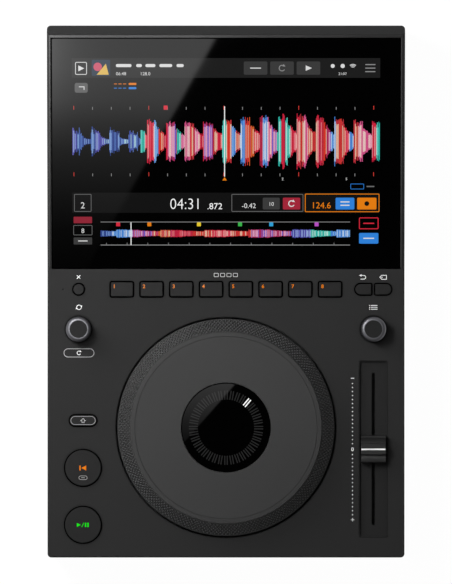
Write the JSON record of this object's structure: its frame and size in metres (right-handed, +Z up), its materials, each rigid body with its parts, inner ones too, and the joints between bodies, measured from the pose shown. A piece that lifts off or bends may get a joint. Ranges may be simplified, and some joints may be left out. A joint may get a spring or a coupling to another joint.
{
  "type": "tabletop dj media player",
  "caption": "Free-standing DJ player with a tilted touch screen, a jog wheel with press plate, sprung keys, two push dials and a tempo fader.",
  "frame": {"origin": "middle of the footprint, on the table under the feet", "axes": "+X to the player's right, +Y from the front edge to the screen's end, +Z up"},
  "size_m": [0.252, 0.375, 0.0936],
  "materials": {
    "case_lower": "moulded, fine spark texture",
    "case_upper": "moulded, fine spark texture",
    "rubber": "moulded",
    "steel_screws": "black zinc",
    "cover_glass": "polished",
    "display": "lit panel",
    "sheet_steel": "zinc plated",
    "rear_steel": "powder coated",
    "circuit_board": "solder mask",
    "switch_plastic": "moulded",
    "clear_lens": "clear",
    "trough_plastic": "moulded",
    "bright_steel": "plated",
    "fader_cap": "moulded, white line",
    "inner_plastic": "moulded",
    "bearing_brass": "sintered",
    "hub_aluminium": "turned",
    "disc_plastic": "film",
    "jog_ring_plastic": "moulded diamond knurl",
    "jog_plate_aluminium": "fine blasted, black anodised",
    "jog_window": "polished black",
    "jack_brass": "plated",
    "socket_plastic": "moulded",
    "key_plastic": "moulded satin",
    "ribbon_film": "flat flexible cable",
    "knob_silver": "turned, satin",
    "knob_disc": "satin"
  },
  "bodies": {
    "player": {"bottom_chassis": "case_lower", "rubber_feet": "rubber", "top_cover": "case_upper", "case_screws": "steel_screws", "cover_glass": "cover_glass", "display_panel": "display", "display_bracket": "sheet_steel", "rear_panel": "rear_steel", "main_board": "circuit_board", "power_board": "circuit_board", "upper_key_board": "circuit_board", "side_key_board": "circuit_board", "key_switches": "switch_plastic", "board_screws": "steel_screws", "status_light_pipe": "clear_lens", "encoder_bodies": "sheet_steel", "fader_trough": "trough_plastic", "fader_body": "sheet_steel", "fader_rails": "bright_steel", "jog_base": "inner_plastic", "jog_bearing": "bearing_brass", "jog_sensor": "inner_plastic", "jog_window": "jog_window", "jog_display": "inner_plastic", "coax_jacks": "jack_brass", "usb_drive_port": "bright_steel", "usb_computer_port": "bright_steel", "network_jack": "socket_plastic", "power_inlet": "socket_plastic", "ribbon_cables": "ribbon_film"},
    "jog_wheel": {"jog_ring": "jog_ring_plastic", "jog_hub": "hub_aluminium", "encoder_disc": "disc_plastic", "touch_switch": "disc_plastic"},
    "jog_touch_plate": {"jog_plate": "jog_plate_aluminium"},
    "tempo_slider": {"fader_lever": "bright_steel", "fader_cap": "fader_cap"},
    "browse_push": {"browse_plunger": "inner_plastic"},
    "browse_dial": {"browse_shaft": "bright_steel", "browse_knob": "knob_silver", "browse_knob_disc": "knob_disc"},
    "loop_push": {"loop_plunger": "inner_plastic"},
    "loop_dial": {"loop_shaft": "bright_steel", "loop_knob": "knob_silver", "loop_knob_disc": "knob_disc"},
    "hot_cue_key_a_body": {"hot_cue_key_a": "key_plastic"},
    "hot_cue_key_b_body": {"hot_cue_key_b": "key_plastic"},
    "hot_cue_key_c_body": {"hot_cue_key_c": "key_plastic"},
    "hot_cue_key_d_body": {"hot_cue_key_d": "key_plastic"},
    "hot_cue_key_e_body": {"hot_cue_key_e": "key_plastic"},
    "hot_cue_key_f_body": {"hot_cue_key_f": "key_plastic"},
    "hot_cue_key_g_body": {"hot_cue_key_g": "key_plastic"},
    "hot_cue_key_h_body": {"hot_cue_key_h": "key_plastic"},
    "delete_key_body": {"delete_key": "key_plastic"},
    "back_key_body": {"back_key": "key_plastic"},
    "tag_key_body": {"tag_key": "key_plastic"},
    "shift_key_body": {"shift_key": "key_plastic"},
    "cue_button_body": {"cue_button": "key_plastic"},
    "play_button_body": {"play_button": "key_plastic"},
    "power_button_body": {"power_button": "key_plastic"}
  },
  "joints": [
    {"name": "jog_spin", "type": "hinge", "parent": "player", "child": "jog_wheel", "pos_m": [0, -0.0956, 0.066], "axis": [0, 0, 1], "continuous": true},
    {"name": "jog_plate_press", "type": "slide", "parent": "jog_wheel", "child": "jog_touch_plate", "axis": [0, 0, -1], "range_m": [0, 0.0004], "stiffness_N_per_m": 4000, "springref_m": -0.0004},
    {"name": "tempo_slide", "type": "slide", "parent": "player", "child": "tempo_slider", "axis": [0, 1, 0], "range_m": [-0.05, 0.05]},
    {"name": "browse_press", "type": "slide", "parent": "player", "child": "browse_push", "axis": [0, 0, -1], "range_m": [0, 0.0006], "stiffness_N_per_m": 1500, "springref_m": -0.0006},
    {"name": "browse_turn", "type": "hinge", "parent": "browse_push", "child": "browse_dial", "pos_m": [0.104, -0.0262, 0.07], "axis": [0, 0, 1], "continuous": true},
    {"name": "loop_press", "type": "slide", "parent": "player", "child": "loop_push", "axis": [0, 0, -1], "range_m": [0, 0.0006], "stiffness_N_per_m": 1500, "springref_m": -0.0006},
    {"name": "loop_turn", "type": "hinge", "parent": "loop_push", "child": "loop_dial", "pos_m": [-0.104, -0.0262, 0.07], "axis": [0, 0, 1], "continuous": true},
    {"name": "hot_cue_a_press", "type": "slide", "parent": "player", "child": "hot_cue_key_a_body", "axis": [0, 0, -1], "range_m": [0, 0.0007], "stiffness_N_per_m": 600, "springref_m": -0.0008},
    {"name": "hot_cue_b_press", "type": "slide", "parent": "player", "child": "hot_cue_key_b_body", "axis": [0, 0, -1], "range_m": [0, 0.0007], "stiffness_N_per_m": 600, "springref_m": -0.0008},
    {"name": "hot_cue_c_press", "type": "slide", "parent": "player", "child": "hot_cue_key_c_body", "axis": [0, 0, -1], "range_m": [0, 0.0007], "stiffness_N_per_m": 600, "springref_m": -0.0008},
    {"name": "hot_cue_d_press", "type": "slide", "parent": "player", "child": "hot_cue_key_d_body", "axis": [0, 0, -1], "range_m": [0, 0.0007], "stiffness_N_per_m": 600, "springref_m": -0.0008},
    {"name": "hot_cue_e_press", "type": "slide", "parent": "player", "child": "hot_cue_key_e_body", "axis": [0, 0, -1], "range_m": [0, 0.0007], "stiffness_N_per_m": 600, "springref_m": -0.0008},
    {"name": "hot_cue_f_press", "type": "slide", "parent": "player", "child": "hot_cue_key_f_body", "axis": [0, 0, -1], "range_m": [0, 0.0007], "stiffness_N_per_m": 600, "springref_m": -0.0008},
    {"name": "hot_cue_g_press", "type": "slide", "parent": "player", "child": "hot_cue_key_g_body", "axis": [0, 0, -1], "range_m": [0, 0.0007], "stiffness_N_per_m": 600, "springref_m": -0.0008},
    {"name": "hot_cue_h_press", "type": "slide", "parent": "player", "child": "hot_cue_key_h_body", "axis": [0, 0, -1], "range_m": [0, 0.0007], "stiffness_N_per_m": 600, "springref_m": -0.0008},
    {"name": "delete_press", "type": "slide", "parent": "player", "child": "delete_key_body", "axis": [0, 0, -1], "range_m": [0, 0.0007], "stiffness_N_per_m": 600, "springref_m": -0.0008},
    {"name": "back_press", "type": "slide", "parent": "player", "child": "back_key_body", "axis": [0, 0, -1], "range_m": [0, 0.0007], "stiffness_N_per_m": 600, "springref_m": -0.0008},
    {"name": "tag_press", "type": "slide", "parent": "player", "child": "tag_key_body", "axis": [0, 0, -1], "range_m": [0, 0.0007], "stiffness_N_per_m": 600, "springref_m": -0.0008},
    {"name": "shift_press", "type": "slide", "parent": "player", "child": "shift_key_body", "axis": [0, 0, -1], "range_m": [0, 0.0007], "stiffness_N_per_m": 600, "springref_m": -0.0008},
    {"name": "cue_press", "type": "slide", "parent": "player", "child": "cue_button_body", "axis": [0, 0, -1], "range_m": [0, 0.0007], "stiffness_N_per_m": 900, "springref_m": -0.0008},
    {"name": "play_press", "type": "slide", "parent": "player", "child": "play_button_body", "axis": [0, 0, -1], "range_m": [0, 0.0007], "stiffness_N_per_m": 900, "springref_m": -0.0008},
    {"name": "power_press", "type": "slide", "parent": "player", "child": "power_button_body", "axis": [0, -1, 0], "range_m": [0, 0.002], "stiffness_N_per_m": 500, "springref_m": -0.001}
  ]
}
